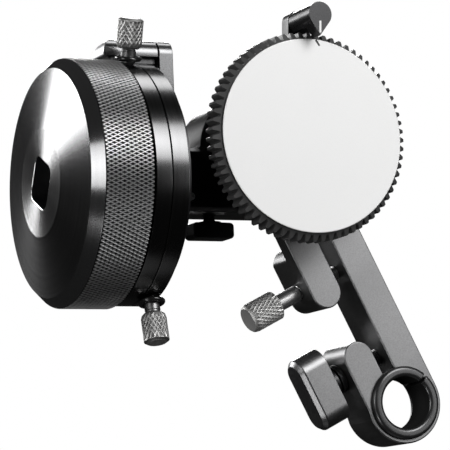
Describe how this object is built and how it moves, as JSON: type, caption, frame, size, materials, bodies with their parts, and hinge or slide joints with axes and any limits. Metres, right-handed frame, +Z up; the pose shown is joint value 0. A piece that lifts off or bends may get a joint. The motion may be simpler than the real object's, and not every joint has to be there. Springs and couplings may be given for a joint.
{
  "type": "lens follow focus",
  "caption": "Lens follow focus: knurled handwheel with two stop rings drives a toothed lens gear through a small gearbox on a tilted rod-clamp arm.",
  "frame": {"origin": "centre of the rod bore, half-way through the arm's depth", "axes": "+Y along the rod from front to back, +Z up, +X to the right as seen from the front"},
  "size_m": [0.1172, 0.0783, 0.1237],
  "materials": {
    "black_alu": "satin black anodised",
    "grey_alu": "satin dark anodised",
    "silver": "knurled natural aluminium",
    "steel": "turned steel",
    "black_gear": "satin black acetal",
    "white_disc": "glossy white writing surface",
    "rubber": "smooth black rubber",
    "bronze": "machined bearing bronze"
  },
  "bodies": {
    "support_arm": {"arm": "grey_alu", "rod_bushing": "black_alu"},
    "rod_clamp_knob": {"wing_knob": "grey_alu", "wing_stud": "steel", "wing_washer": "black_alu"},
    "neck_clamp_screw": {"clamp_knob": "silver", "clamp_stud": "steel"},
    "gearbox": {"housing": "black_alu", "rear_cover": "black_alu", "cover_screw_1": "steel", "cover_screw_2": "steel", "cover_screw_3": "steel", "cover_screw_4": "steel", "set_screw": "steel", "neck_sleeve": "black_alu", "drive_bush_front": "bronze", "drive_bush_rear": "bronze", "wheel_bush": "bronze", "pointer_plate": "black_alu", "gear_pointer": "black_alu", "stop_plate": "black_alu", "plate_screw_1": "steel", "plate_screw_2": "steel", "stop_block": "black_alu"},
    "lock_knob": {"t_knob": "black_alu", "t_stud": "steel"},
    "drive": {"lens_gear": "black_gear", "marking_disc": "white_disc", "drive_shaft": "steel", "drive_helical": "bronze"},
    "wheel": {"handwheel": "grey_alu", "wheel_back_plate": "black_alu", "wheel_shaft": "steel", "wheel_nut": "black_alu", "wheel_helical": "steel"},
    "ring_1": {"stop_ring_1": "black_alu", "o_ring_1": "rubber"},
    "ring_2": {"stop_ring_2": "black_alu", "o_ring_2": "rubber"},
    "ring_screw_1": {"stop_stud_1": "steel", "stop_knob_1": "silver"},
    "ring_screw_2": {"stop_stud_2": "steel", "stop_knob_2": "silver"}
  },
  "joints": [
    {"name": "gearbox_swivel", "type": "hinge", "parent": "support_arm", "child": "gearbox", "pos_m": [-0.03695, 0, 0.0741], "axis": [0, 1, 0], "range_deg": [-30, 165]},
    {"name": "rod_clamp_turn", "type": "hinge", "parent": "support_arm", "child": "rod_clamp_knob", "pos_m": [-0.00656, 0, 0.01316], "axis": [0.8949, 0, 0.4462], "range_deg": [-180, 180]},
    {"name": "neck_clamp_turn", "type": "hinge", "parent": "support_arm", "child": "neck_clamp_screw", "pos_m": [-0.01896, 0, 0.03803], "axis": [0.8949, 0, 0.4462], "range_deg": [-180, 180]},
    {"name": "lock_turn", "type": "hinge", "parent": "gearbox", "child": "lock_knob", "pos_m": [-0.05345, 0.0072, 0.0541], "axis": [0, 0, 1], "range_deg": [-180, 180]},
    {"name": "wheel_spin", "type": "hinge", "parent": "gearbox", "child": "wheel", "pos_m": [-0.03695, 0.0072, 0.06447], "axis": [1, 0, 0], "range_deg": [-3.5, 180]},
    {"name": "drive_spin", "type": "hinge", "parent": "gearbox", "child": "drive", "pos_m": [-0.03695, 0, 0.0741], "axis": [0, 1, 0], "range_deg": [-3.5, 180]},
    {"name": "ring_1_turn", "type": "hinge", "parent": "wheel", "child": "ring_1", "pos_m": [-0.08195, 0.0072, 0.06447], "axis": [1, 0, 0], "range_deg": [0, 68]},
    {"name": "ring_2_turn", "type": "hinge", "parent": "wheel", "child": "ring_2", "pos_m": [-0.0767, 0.0072, 0.06447], "axis": [1, 0, 0], "range_deg": [-68, 0]},
    {"name": "ring_screw_1_turn", "type": "hinge", "parent": "ring_1", "child": "ring_screw_1", "pos_m": [-0.08155, -0.00303, 0.09794], "axis": [0, -0.2924, 0.9563], "range_deg": [-180, 180]},
    {"name": "ring_screw_2_turn", "type": "hinge", "parent": "ring_2", "child": "ring_screw_2", "pos_m": [-0.07615, -0.00127, 0.03051], "axis": [0, -0.2419, -0.9703], "range_deg": [-180, 180]}
  ],
  "couplings": [
    {"joint": "drive_spin", "follows": "wheel_spin", "ratio": 1}
  ]
}
